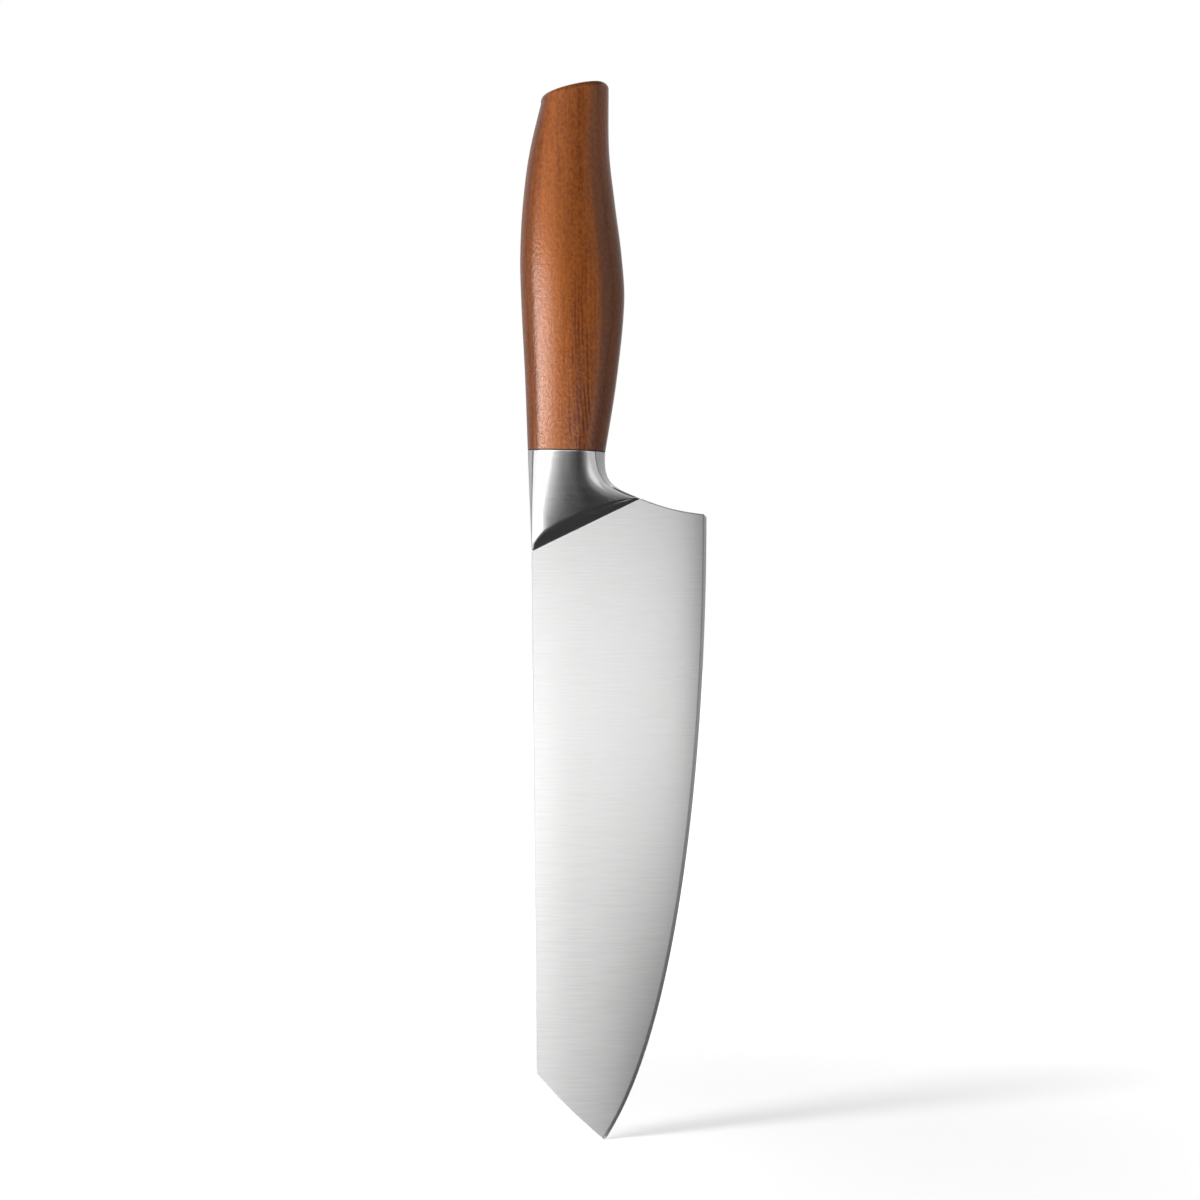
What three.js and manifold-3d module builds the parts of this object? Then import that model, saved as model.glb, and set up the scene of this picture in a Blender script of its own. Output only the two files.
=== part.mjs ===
// Santoku knife with a clipped point, a sculpted steel bolster and a one-piece wooden handle.
//
// Millimetres, +Z up. The knife hangs point down, the way it sits on a magnetic rack: X runs from the
// spine to the cutting edge, Y through the thickness, Z from the point to the butt of the handle.
// The pieces are laid out with X = 0 on the spine, Y = 0 on the middle plane and Z = 0 at the point.
// The finished group is then moved so that its origin is the middle of the rack face.
import * as THREE from 'three';
import { mergeVertices } from 'three/addons/utils/BufferGeometryUtils.js';
import Module from 'manifold-3d';

// Blade outline, seen from the side
const BLADE_LENGTH = 178; // heel corner to point
const BLADE_DEPTH = 49.8; // spine to cutting edge at the heel
const POINT_DEPTH = 20.75; // spine to point
const POINT_FLAT = 0.4; // blunt end of the point
const SPINE_LEAN = 1.5; // how far the spine leans towards the edge by the time it reaches the clip
const CLIP_HEIGHT = 18.9; // point up to the corner where the clip meets the spine
const CLIP_CROWN = 0.55; // outward bow of the clip
const EDGE_HEEL_PULL = 63.4; // how long the edge runs on straight below the heel
const EDGE_POINT_PULL = 40; // how long it runs straight into the point
const EDGE_POINT_ANGLE = 33.4; // degrees between the edge and Z at the point
const HEEL_EASE = 0.7; // rounding of the heel corner

// Blade grind, seen in section
const SPINE_THICKNESS = 2.3; // of the flats, at the spine end of the shoulder
const POINT_THICKNESS = 1.5; // of the flats, carried down to the level of the point
const SPINE_EASE = 0.25; // small bevel along both corners of the spine
const GRIND_HEIGHT = 30; // from the edge up to where the flats begin
const GRIND_POWER = 3.5; // how strongly the grind bellies out above the edge
const EDGE_THICKNESS = 0.4; // just behind the sharpened bevel
const BEVEL_WIDTH = 0.8; // sharpened bevel
const EDGE_LAND = 0.06; // width left at the very edge
const NARROW_BEVEL = 0.33; // most of the blade's depth that the bevel may take up close to the point
const NARROW_EASE = 0.12; // and the most that the spine's small bevels may take there

// Shoulder between blade and bolster: a slanted straight line, and the tongue above it
const HEEL_RISE = 10.65; // heel corner above the spine end of the shoulder
const SHOULDER_WIDTH = 31; // spine to the belly end of the shoulder
const SHOULDER_RISE = 15.2; // belly end of the shoulder above its spine end
const RAMP_ANGLE = 22; // degrees the belly falls where bolster passes into blade
const CHOIL_RAMP_PULL = 8; // how long the blade keeps the ramp's direction
const CHOIL_HEEL_PULL = 7; // how long it runs straight into the heel
const CHOIL_HEEL_ANGLE = 6.6; // degrees the top line falls at the heel
const TONGUE_INSET = 6; // spine to the tongue
const TONGUE_WIDTH = 14;
const TONGUE_REACH = 8; // above the middle of the shoulder under it
const TONGUE_THICKNESS = 1.5;
const TONGUE_ROOT = 1; // how deep the tongue is rooted in the blade

// Bolster
const BOLSTER_LENGTH = 28.75; // along the spine, shoulder to handle joint
const CREST_THICKNESS = 7; // across the middle, at the top of the cove
const COVE_HEIGHT = 3.45; // steep hollow between crest and blade, halfway across
const COVE_END_HEIGHT = 1.3; // the same at the spine and at the belly
const COVE_EVENNESS = 4; // even number: the higher, the further out the cove keeps its height
const COVE_POWER = 1.3; // how hollow the cove is
const BELLY_LEAN = 4.3; // degrees the belly leans in below the joint
const BELLY_JOINT_PULL = 8.6; // how long the belly runs on straight below the joint
const BELLY_RAMP_PULL = 8.8; // how long it keeps the ramp's direction above the shoulder

// Handle
const HANDLE_LENGTH = 100.6; // wood, joint to the rim of the butt, midway across
const JOINT_WIDTH = 22.1;
const JOINT_BACK = 1.1; // how far the joint stands out behind the spine
const JOINT_THICKNESS = 17.4;
const JOINT_SLANT = 0.6; // belly end of the joint below its spine end
const OVAL_POWER = 2.35; // 2 is an ellipse, more is fuller
const RIDGE_FLAT = 0.5; // narrow flat along the back and the belly of the oval
const BUTT_DROP = 4.4; // spine side of the butt below its belly side
const BUTT_ROUND = 2; // rounding of the butt's rim
const BUTT_ROUND_SWEEP = 75; // degrees of that rounding before the crown takes over
const BUTT_CROWN = 1.2; // how far the butt's face bulges

// How far the handle's back stands out behind the spine of the blade, from the neck to the butt
const NECK_BACK = 1.85;
const PALM_BACK = 2.95;
const SWELL_BACK = 3.25;
const WAIST_BACK = 2.45;
const REAR_BACK = 0.5;
const BUTT_BACK = -4;

// How far its belly lies in front of the spine
const NECK_BELLY = 24.2;
const PALM_BELLY = 26.4;
const SWELL_BELLY = 25.65;
const WAIST_BELLY = 23.7;
const REAR_BELLY = 22.1;
const BUTT_BELLY = 21.95;

// Its thickness
const NECK_THICKNESS = 19;
const PALM_THICKNESS = 20.4;
const SWELL_THICKNESS = 20.6;
const WAIST_THICKNESS = 19.8;
const REAR_THICKNESS = 18.4;
const BUTT_THICKNESS = 17;

// The stations at which these hold, as shares of the handle's length
const HANDLE_OUTLINE = [
  { at: 0, spine: -JOINT_BACK, belly: JOINT_WIDTH - JOINT_BACK, thickness: JOINT_THICKNESS },
  { at: 0.2, spine: -NECK_BACK, belly: NECK_BELLY, thickness: NECK_THICKNESS },
  { at: 0.42, spine: -PALM_BACK, belly: PALM_BELLY, thickness: PALM_THICKNESS },
  { at: 0.55, spine: -SWELL_BACK, belly: SWELL_BELLY, thickness: SWELL_THICKNESS },
  { at: 0.7, spine: -WAIST_BACK, belly: WAIST_BELLY, thickness: WAIST_THICKNESS },
  { at: 0.845, spine: -REAR_BACK, belly: REAR_BELLY, thickness: REAR_THICKNESS },
  { at: 1.03, spine: -BUTT_BACK, belly: BUTT_BELLY, thickness: BUTT_THICKNESS },
];

// Tang and the adhesive round it
const TANG_WIDTH = 9;
const TANG_THICKNESS = 4;
const TANG_SEAT = 8; // depth in the bolster
const TANG_REACH = 72; // past the joint, into the handle
const NOTCH_RADIUS = 1.2; // bites in both edges of the tang that key the adhesive
const NOTCH_COUNT = 4;
const NOTCH_START = 16; // joint to the first notch
const NOTCH_PITCH = 14;
const EPOXY_WALL = 1.2; // round the tang
const FILM_THICKNESS = 0.3; // between bolster and wood
const FILM_INSET = 0.15; // how far the film lies back from the surface
const BOND_GAP = 0.05; // clearance between bonded or welded pieces

// Middle of the face that lies on a magnetic rack
const RACK_SETBACK = 8; // from the spine
const RACK_HEIGHT = 95; // above the point

// Fineness of the surfaces
const OVAL_STEPS = 14;
const BLADE_ROWS = 28;
const CLIP_ROWS = 10;
const GRIND_STEPS = 9;
const GRIND_CROWDING = 1.5; // above 1 the steps lie closer together near the edge
const BOLSTER_ROWS = 14;
const COVE_ROWS = 4;
const HANDLE_ROWS = 22;
const BUTT_ROWS = 5;
const CROWN_SCALES = [0.7, 0.4, 0.1];
const CURVE_STEPS = 12;
const HALVINGS = 40; // steps of the search along a curve
const SLOPE_STEP = 0.5; // over which the slant of the edge is measured
const CUT_MARGIN = 2; // how far a cutter reaches past what it cuts

const wasm = await Module();
wasm.setup();

// Derived places
const SHOULDER_LOW = BLADE_LENGTH - HEEL_RISE;
const JOINT_HEIGHT = SHOULDER_LOW + BOLSTER_LENGTH;
const WOOD_START = JOINT_HEIGHT + FILM_THICKNESS;
const TANG_MIDDLE = JOINT_WIDTH / 2 - JOINT_BACK;
const shoulderSpine = new THREE.Vector2(0, SHOULDER_LOW);
const shoulderBelly = new THREE.Vector2(SHOULDER_WIDTH, SHOULDER_LOW + SHOULDER_RISE);
const jointSpine = new THREE.Vector2(-JOINT_BACK, JOINT_HEIGHT);
const jointBelly = new THREE.Vector2(JOINT_WIDTH - JOINT_BACK, JOINT_HEIGHT - JOINT_SLANT);
const heel = new THREE.Vector2(BLADE_DEPTH, BLADE_LENGTH);
const lerp = THREE.MathUtils.lerp;
const radians = THREE.MathUtils.degToRad;

// A unit vector in the X-Z plane that falls by the given number of degrees on its way to the edge.
function falling(degrees) {
  return new THREE.Vector2(Math.cos(radians(degrees)), -Math.sin(radians(degrees)));
}

// A point moved along a direction.
function along(start, direction, distance) {
  return start.clone().addScaledVector(direction, distance);
}

// The X at which a curve that climbs steadily in Z passes the given height.
function xAtHeight(curve, height) {
  let low = 0;
  let high = 1;
  for (let i = 0; i < HALVINGS; i++) {
    const middle = (low + high) / 2;
    if (curve.getPoint(middle).y < height) {
      low = middle;
    } else {
      high = middle;
    }
  }
  return curve.getPoint((low + high) / 2).x;
}

// Half the thickness of the blade's flats at a height: they taper steadily towards the point.
function flatHalf(height) {
  return lerp(POINT_THICKNESS, SPINE_THICKNESS, height / SHOULDER_LOW) / 2;
}

// The height of the shoulder line at a distance from the spine.
function shoulderHeight(x) {
  return SHOULDER_LOW + (SHOULDER_RISE * x) / SHOULDER_WIDTH;
}

// One measure of the handle's outline, on a smooth curve through its stations.
function outlineAt(measure, share) {
  const last = HANDLE_OUTLINE.length - 2;
  const found = HANDLE_OUTLINE.findIndex((station) => station.at > share) - 1;
  const i = found < 0 ? last : found;
  const slope = (k) => {
    const before = HANDLE_OUTLINE[Math.max(k - 1, 0)];
    const after = HANDLE_OUTLINE[Math.min(k + 1, last + 1)];
    return (after[measure] - before[measure]) / (after.at - before.at);
  };
  const [start, end] = [HANDLE_OUTLINE[i], HANDLE_OUTLINE[i + 1]];
  const span = end.at - start.at;
  const t = (share - start.at) / span;
  const rise = end[measure] - start[measure];
  const bend = slope(i) * span * (1 - t) ** 2 * t - slope(i + 1) * span * (1 - t) * t ** 2;
  return start[measure] + rise * t * t * (3 - 2 * t) + bend;
}

// A closed surface over rings that are stacked upwards, each counter-clockwise seen from above.
function loft(rings) {
  const count = rings[0].length;
  const centreOf = (ring) => {
    const sum = ring.reduce((total, point) => total.add(point), new THREE.Vector3());
    return sum.divideScalar(count);
  };
  const points = [...rings.flat(), centreOf(rings[0]), centreOf(rings[rings.length - 1])];
  const faces = [];
  for (let row = 0; row < rings.length - 1; row++) {
    for (let i = 0; i < count; i++) {
      const a = row * count + i;
      const b = row * count + ((i + 1) % count);
      faces.push(a, b, b + count, a, b + count, a + count);
    }
  }
  const top = (rings.length - 1) * count;
  const bottomCentre = rings.length * count;
  for (let i = 0; i < count; i++) {
    const next = (i + 1) % count;
    faces.push(bottomCentre, next, i, bottomCentre + 1, top + i, top + next);
  }
  return new THREE.BufferGeometry().setFromPoints(points).setIndex(faces);
}

// A flat plate with the given outline in X and Z, centred on the middle plane.
function plate(outline, thickness) {
  const shape = { depth: thickness, bevelEnabled: false, curveSegments: CURVE_STEPS };
  return new THREE.ExtrudeGeometry(outline, shape).rotateX(Math.PI / 2).translate(0, thickness / 2, 0);
}

// A bar with round sides that stands on a level, drawn round the tang's middle line.
function roundedBar(width, thickness, bottom, top) {
  const radius = thickness / 2;
  const reach = width / 2 - radius;
  const outline = new THREE.Shape();
  outline.absarc(reach, 0, radius, -Math.PI / 2, Math.PI / 2);
  outline.absarc(-reach, 0, radius, Math.PI / 2, (3 * Math.PI) / 2);
  const shape = { depth: top - bottom, bevelEnabled: false, curveSegments: CURVE_STEPS };
  return new THREE.ExtrudeGeometry(outline, shape).translate(TANG_MIDDLE, 0, bottom);
}

// The solid inside a closed surface.
function solid(geometry) {
  const bare = new THREE.BufferGeometry().setAttribute('position', geometry.getAttribute('position'));
  bare.setIndex(geometry.index);
  const merged = mergeVertices(bare);
  const triVerts = new Uint32Array(merged.index.array);
  const vertProperties = merged.getAttribute('position').array;
  return new wasm.Manifold(new wasm.Mesh({ numProp: 3, vertProperties, triVerts }));
}

// The surface of a solid.
function surface(body) {
  const { vertProperties, triVerts } = body.getMesh();
  const geometry = new THREE.BufferGeometry();
  geometry.setAttribute('position', new THREE.BufferAttribute(vertProperties, 3));
  geometry.setIndex(new THREE.BufferAttribute(triVerts, 1));
  geometry.computeVertexNormals();
  return geometry;
}

// A ring with an oval section, drawn across from -1 at the spine to 1 at the belly. For each step the
// given function places the ring on the middle plane and says how thick it is on each side there.
function ovalRing(place) {
  const side = (sign) =>
    Array.from({ length: OVAL_STEPS + 1 }, (_, i) => {
      const across = -Math.cos((Math.PI * i) / OVAL_STEPS);
      const fullness = Math.max(0, 1 - Math.abs(across) ** OVAL_POWER) ** (1 / OVAL_POWER);
      const { at, half } = place(across, fullness);
      return new THREE.Vector3(at.x, sign * half, at.y);
    });
  return [...side(-1), ...side(1).reverse()];
}

// A plain oval ring between its spine end and its belly end.
function plainRing(spineEnd, bellyEnd, thickness) {
  const swell = (thickness - RIDGE_FLAT) / 2;
  return ovalRing((across, fullness) => ({
    at: spineEnd.clone().lerp(bellyEnd, (across + 1) / 2),
    half: RIDGE_FLAT / 2 + swell * fullness,
  }));
}

// Blade: rows across from spine or clip to the edge, cut off along the shoulder and the choil.
const edge = (() => {
  const point = new THREE.Vector2(POINT_DEPTH + POINT_FLAT / 2, 0);
  const upFromPoint = falling(EDGE_POINT_ANGLE - 90);
  const down = new THREE.Vector2(0, -1);
  return new THREE.CubicBezierCurve(
    point,
    along(point, upFromPoint, EDGE_POINT_PULL),
    along(heel, down, EDGE_HEEL_PULL),
    heel,
  );
})();

const clip = (() => {
  const point = new THREE.Vector2(POINT_DEPTH - POINT_FLAT / 2, 0);
  const corner = new THREE.Vector2(SPINE_LEAN, CLIP_HEIGHT);
  const chord = corner.clone().sub(point);
  const outward = new THREE.Vector2(-chord.y, chord.x).normalize();
  const middle = point.clone().lerp(corner, 0.5);
  return new THREE.QuadraticBezierCurve(point, along(middle, outward, 2 * CLIP_CROWN), corner);
})();

function spineX(height) {
  if (height < CLIP_HEIGHT) {
    return xAtHeight(clip, height);
  }
  return (SPINE_LEAN * (SHOULDER_LOW - height)) / (SHOULDER_LOW - CLIP_HEIGHT);
}

function edgeX(height) {
  return height < BLADE_LENGTH ? xAtHeight(edge, height) : BLADE_DEPTH;
}

// How much shorter the square distance to the edge is than the level one, where the edge is slanted.
function edgeSlant(height) {
  const below = Math.max(height - SLOPE_STEP, 0);
  const above = height + SLOPE_STEP;
  const slope = (edgeX(above) - edgeX(below)) / (above - below);
  return 1 / Math.hypot(1, slope);
}

// Half the thickness of the ground face at a square distance from the edge.
function grindHalf(distance, bevel, height) {
  const flat = flatHalf(height);
  if (distance >= GRIND_HEIGHT) {
    return flat;
  }
  const share = (GRIND_HEIGHT - distance) / (GRIND_HEIGHT - bevel);
  return flat - (flat - EDGE_THICKNESS / 2) * share ** GRIND_POWER;
}

function bladeRing(height) {
  const spine = spineX(height);
  const edgeEnd = edgeX(height);
  const slant = edgeSlant(height);
  const reach = (edgeEnd - spine) * slant;
  const ease = Math.min(SPINE_EASE, reach * NARROW_EASE);
  const bevel = Math.min(BEVEL_WIDTH, reach * NARROW_BEVEL);
  const top = Math.min(GRIND_HEIGHT, reach - 2 * ease);
  const half = [[edgeEnd, EDGE_LAND / 2]];
  for (let i = 0; i <= GRIND_STEPS; i++) {
    const distance = lerp(bevel, top, (i / GRIND_STEPS) ** GRIND_CROWDING);
    half.push([edgeEnd - distance / slant, grindHalf(distance, bevel, height)]);
  }
  const backHalf = grindHalf(reach - ease, bevel, height);
  half.push([spine + ease, backHalf]);
  half.push([spine, backHalf - ease]);
  const front = half.map(([x, y]) => new THREE.Vector3(x, -y, height)).reverse();
  const back = half.map(([x, y]) => new THREE.Vector3(x, y, height));
  return [...front, ...back];
}

function makeBlade() {
  const top = shoulderBelly.y + CUT_MARGIN;
  const heights = [];
  for (let i = 0; i < CLIP_ROWS; i++) {
    heights.push((CLIP_HEIGHT * i) / CLIP_ROWS);
  }
  for (let i = 0; i <= BLADE_ROWS; i++) {
    heights.push(lerp(CLIP_HEIGHT, top, i / BLADE_ROWS));
  }
  const plank = solid(loft(heights.map(bladeRing)));

  const rampEnd = along(shoulderBelly, falling(RAMP_ANGLE), CHOIL_RAMP_PULL);
  const heelStart = along(heel, falling(CHOIL_HEEL_ANGLE), -CHOIL_HEEL_PULL);
  const easeStart = along(heel, falling(CHOIL_HEEL_ANGLE), -HEEL_EASE);
  const far = BLADE_DEPTH + CUT_MARGIN;
  const waste = new THREE.Shape();
  waste.moveTo(-BLADE_DEPTH, shoulderHeight(-BLADE_DEPTH) - BOND_GAP);
  waste.lineTo(shoulderBelly.x, shoulderBelly.y - BOND_GAP);
  waste.lineTo(shoulderBelly.x, shoulderBelly.y);
  waste.bezierCurveTo(rampEnd.x, rampEnd.y, heelStart.x, heelStart.y, easeStart.x, easeStart.y);
  waste.quadraticCurveTo(heel.x, heel.y, heel.x, heel.y - HEEL_EASE);
  waste.lineTo(far, heel.y - HEEL_EASE);
  waste.lineTo(far, top + CUT_MARGIN);
  waste.lineTo(-BLADE_DEPTH, top + CUT_MARGIN);
  const wasteThickness = 2 * SPINE_THICKNESS;
  const tongue = solid(plate(tongueOutline(0), TONGUE_THICKNESS));
  return plank.subtract(solid(plate(waste, wasteThickness))).add(tongue);
}

// The tongue's outline, or the slot's round it when it is grown by a clearance.
function tongueOutline(grow) {
  const left = TONGUE_INSET - grow;
  const right = TONGUE_INSET + TONGUE_WIDTH + grow;
  const top = shoulderHeight(TONGUE_INSET + TONGUE_WIDTH / 2) + TONGUE_REACH + grow;
  const outline = new THREE.Shape();
  outline.moveTo(left, shoulderHeight(left) - TONGUE_ROOT);
  outline.lineTo(right, shoulderHeight(right) - TONGUE_ROOT);
  outline.lineTo(right, top);
  outline.lineTo(left, top);
  return outline;
}

// Bolster: rings that fan out from the handle's joint to the slanted shoulder.
const belly = (() => {
  const downFromJoint = falling(90 + BELLY_LEAN);
  return new THREE.CubicBezierCurve(
    jointBelly,
    along(jointBelly, downFromJoint, BELLY_JOINT_PULL),
    along(shoulderBelly, falling(RAMP_ANGLE), -BELLY_RAMP_PULL),
    shoulderBelly,
  );
})();

const bolsterMiddle = (() => {
  const joint = jointSpine.clone().lerp(jointBelly, 0.5);
  return joint.distanceTo(shoulderSpine.clone().lerp(shoulderBelly, 0.5));
})();

// A bolster ring. scooped runs from 0 at the joint to 1 at the crest, and cove from 1 at the crest to 0
// at the shoulder. The crest bows away from the shoulder, so the rings do too.
function bolsterRing(scooped, cove) {
  const jointSwell = (JOINT_THICKNESS - RIDGE_FLAT) / 2;
  const crestSwell = (CREST_THICKNESS - SPINE_THICKNESS) / 2;
  const swell = lerp(jointSwell, crestSwell, scooped) * cove ** COVE_POWER;
  return ovalRing((across, fullness) => {
    const coveShare = lerp(COVE_HEIGHT, COVE_END_HEIGHT, across ** COVE_EVENNESS) / bolsterMiddle;
    const down = scooped * (1 - coveShare) + (1 - cove) * coveShare;
    const spineEnd = jointSpine.clone().lerp(shoulderSpine, down);
    const at = spineEnd.lerp(belly.getPointAt(down), (across + 1) / 2);
    return { at, half: lerp(RIDGE_FLAT / 2, flatHalf(at.y), down) + swell * fullness };
  });
}

function makeBolster() {
  const rings = [];
  for (let i = 0; i < COVE_ROWS; i++) {
    rings.push(bolsterRing(1, i / COVE_ROWS));
  }
  for (let i = 0; i <= BOLSTER_ROWS; i++) {
    rings.push(bolsterRing(1 - i / BOLSTER_ROWS, 1));
  }
  const slot = plate(tongueOutline(BOND_GAP), TONGUE_THICKNESS + 2 * BOND_GAP);
  const socket = plate(tangOutline(BOND_GAP, CUT_MARGIN), TANG_THICKNESS + 2 * BOND_GAP);
  return solid(loft(rings)).subtract(solid(slot)).subtract(solid(socket));
}

// Tang: a flat bar with round bites along both edges, or the pocket round it when it is grown by a
// clearance. The outline stops at the given height above the joint, or runs its full length without one.
function tangOutline(grow, stop) {
  const bottom = JOINT_HEIGHT - TANG_SEAT - grow;
  const left = TANG_MIDDLE - TANG_WIDTH / 2 - grow;
  const right = TANG_MIDDLE + TANG_WIDTH / 2 + grow;
  const outline = new THREE.Shape();
  outline.moveTo(left, bottom);
  outline.lineTo(right, bottom);
  if (stop) {
    outline.lineTo(right, JOINT_HEIGHT + stop);
    outline.lineTo(left, JOINT_HEIGHT + stop);
    return outline;
  }
  const top = JOINT_HEIGHT + TANG_REACH + grow;
  const bite = NOTCH_RADIUS - grow;
  const firstNotch = JOINT_HEIGHT + NOTCH_START;
  const notches = Array.from({ length: NOTCH_COUNT }, (_, i) => firstNotch + i * NOTCH_PITCH);
  for (const z of notches) {
    outline.absarc(right, z, bite, -Math.PI / 2, Math.PI / 2, true);
  }
  outline.absarc(TANG_MIDDLE, top - (right - left) / 2, (right - left) / 2, 0, Math.PI);
  for (const z of notches.reverse()) {
    outline.absarc(left, z, bite, Math.PI / 2, (3 * Math.PI) / 2, true);
  }
  return outline;
}

function makeTang() {
  return solid(plate(tangOutline(0), TANG_THICKNESS));
}

// Handle: oval rings that turn from the joint to the slanted butt, then round over into its crown.
function handleRing(share) {
  const spineRise = share * (HANDLE_LENGTH - BUTT_DROP / 2);
  const bellyRise = share * (HANDLE_LENGTH + BUTT_DROP / 2);
  const bellyStart = WOOD_START - JOINT_SLANT * (1 - share);
  const spineEnd = new THREE.Vector2(outlineAt('spine', spineRise / HANDLE_LENGTH), WOOD_START + spineRise);
  const bellyEnd = new THREE.Vector2(outlineAt('belly', bellyRise / HANDLE_LENGTH), bellyStart + bellyRise);
  return plainRing(spineEnd, bellyEnd, outlineAt('thickness', share));
}

// The butt's rim drawn in and raised square to its own slanted plane.
function buttRing(rim, inset, scale, rise) {
  const spineEnd = rim[0].clone().setY(0);
  const bellyEnd = rim[OVAL_STEPS].clone().setY(0);
  const middle = spineEnd.clone().lerp(bellyEnd, 0.5);
  const acrossHalf = spineEnd.distanceTo(bellyEnd) / 2;
  const across = bellyEnd.clone().sub(spineEnd).normalize();
  const up = new THREE.Vector3(-across.z, 0, across.x);
  const thickHalf = Math.max(...rim.map((point) => point.y));
  return rim.map((point) => {
    const sideways = point.clone().sub(middle).dot(across);
    const x = sideways * ((acrossHalf - inset) / acrossHalf) * scale;
    const y = point.y * ((thickHalf - inset) / thickHalf) * scale;
    return middle.clone().addScaledVector(across, x).addScaledVector(up, rise).setY(y);
  });
}

function makeHandle() {
  const rings = [];
  for (let i = 0; i <= HANDLE_ROWS; i++) {
    rings.push(handleRing(i / HANDLE_ROWS));
  }
  const rim = rings[HANDLE_ROWS];
  for (let i = 1; i <= BUTT_ROWS; i++) {
    const turn = radians((BUTT_ROUND_SWEEP * i) / BUTT_ROWS);
    rings.push(buttRing(rim, BUTT_ROUND * (1 - Math.cos(turn)), 1, BUTT_ROUND * Math.sin(turn)));
  }
  const sweep = radians(BUTT_ROUND_SWEEP);
  for (const scale of CROWN_SCALES) {
    const rise = BUTT_ROUND * Math.sin(sweep) + BUTT_CROWN * (1 - scale ** 2);
    rings.push(buttRing(rim, BUTT_ROUND * (1 - Math.cos(sweep)), scale, rise));
  }
  const bore = roundedBar(
    TANG_WIDTH + 2 * EPOXY_WALL,
    TANG_THICKNESS + 2 * EPOXY_WALL,
    WOOD_START - CUT_MARGIN,
    JOINT_HEIGHT + TANG_REACH + EPOXY_WALL,
  );
  return solid(loft(rings)).subtract(solid(bore));
}

// Adhesive: the fill of the bore and the film under the wood, with the tang's own shape left out of it.
function makeTangEpoxy() {
  const top = JOINT_HEIGHT + TANG_REACH + EPOXY_WALL - BOND_GAP;
  const fill = roundedBar(
    TANG_WIDTH + 2 * (EPOXY_WALL - BOND_GAP),
    TANG_THICKNESS + 2 * (EPOXY_WALL - BOND_GAP),
    JOINT_HEIGHT - CUT_MARGIN,
    top,
  );
  const acrossJoint = jointBelly.clone().sub(jointSpine).normalize();
  const filmRing = (rise) => {
    const lift = new THREE.Vector2(0, rise);
    const spineEnd = along(jointSpine, acrossJoint, FILM_INSET).add(lift);
    const bellyEnd = along(jointBelly, acrossJoint, -FILM_INSET).add(lift);
    return plainRing(spineEnd, bellyEnd, JOINT_THICKNESS - 2 * FILM_INSET);
  };
  const film = loft([filmRing(0), filmRing(FILM_THICKNESS)]);
  const aboveJoint = loft([filmRing(0), filmRing(top)]);
  const pocket = plate(tangOutline(BOND_GAP), TANG_THICKNESS + 2 * BOND_GAP);
  return solid(fill).intersect(solid(aboveJoint)).add(solid(film)).subtract(solid(pocket));
}

// The assembly
const finishes = {
  blade: { color: 0xd2d3d3, roughness: 0.34, metalness: 1 },
  bolster: { color: 0xcdced0, roughness: 0.18, metalness: 1 },
  tang: { color: 0x9d9d9a, roughness: 0.5, metalness: 1 },
  handle: { color: 0x8f5230, roughness: 0.42, metalness: 0 },
  tang_epoxy: { color: 0x2b211c, roughness: 0.6, metalness: 0 },
};
const pieces = {
  blade: makeBlade(),
  bolster: makeBolster(),
  tang: makeTang(),
  handle: makeHandle(),
  tang_epoxy: makeTangEpoxy(),
};

const onRack = new THREE.Group();
onRack.position.set(-RACK_SETBACK, -flatHalf(RACK_HEIGHT), -RACK_HEIGHT);
for (const [name, body] of Object.entries(pieces)) {
  const mesh = new THREE.Mesh(surface(body), new THREE.MeshStandardMaterial(finishes[name]));
  mesh.name = name;
  onRack.add(mesh);
}

const knife = new THREE.Group();
knife.add(onRack);

export default knife;
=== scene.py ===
import math

import bmesh
import bpy
import numpy as np
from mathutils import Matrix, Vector


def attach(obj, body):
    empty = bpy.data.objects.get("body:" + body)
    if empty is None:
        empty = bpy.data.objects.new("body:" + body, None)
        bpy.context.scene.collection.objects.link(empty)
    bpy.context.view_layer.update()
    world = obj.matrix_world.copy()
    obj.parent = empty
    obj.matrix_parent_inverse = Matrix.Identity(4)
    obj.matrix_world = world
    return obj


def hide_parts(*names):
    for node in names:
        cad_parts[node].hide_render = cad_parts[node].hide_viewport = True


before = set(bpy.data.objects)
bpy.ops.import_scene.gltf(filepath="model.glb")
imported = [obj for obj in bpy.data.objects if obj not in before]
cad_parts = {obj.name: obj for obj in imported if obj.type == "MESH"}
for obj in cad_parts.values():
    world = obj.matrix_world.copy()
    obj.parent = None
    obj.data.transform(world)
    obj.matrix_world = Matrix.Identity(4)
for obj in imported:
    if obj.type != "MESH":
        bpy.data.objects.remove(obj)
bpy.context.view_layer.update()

# Kitchen knife with a clipped point. Sizes are in millimetres, as in the part's own model: X runs from
# the spine to the cutting edge, Y through the thickness, Z from the point to the butt of the handle.
# The pieces are drawn with X = 0 on the spine, Y = 0 on the middle plane and Z = 0 at the point.
MM = 0.001

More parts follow.
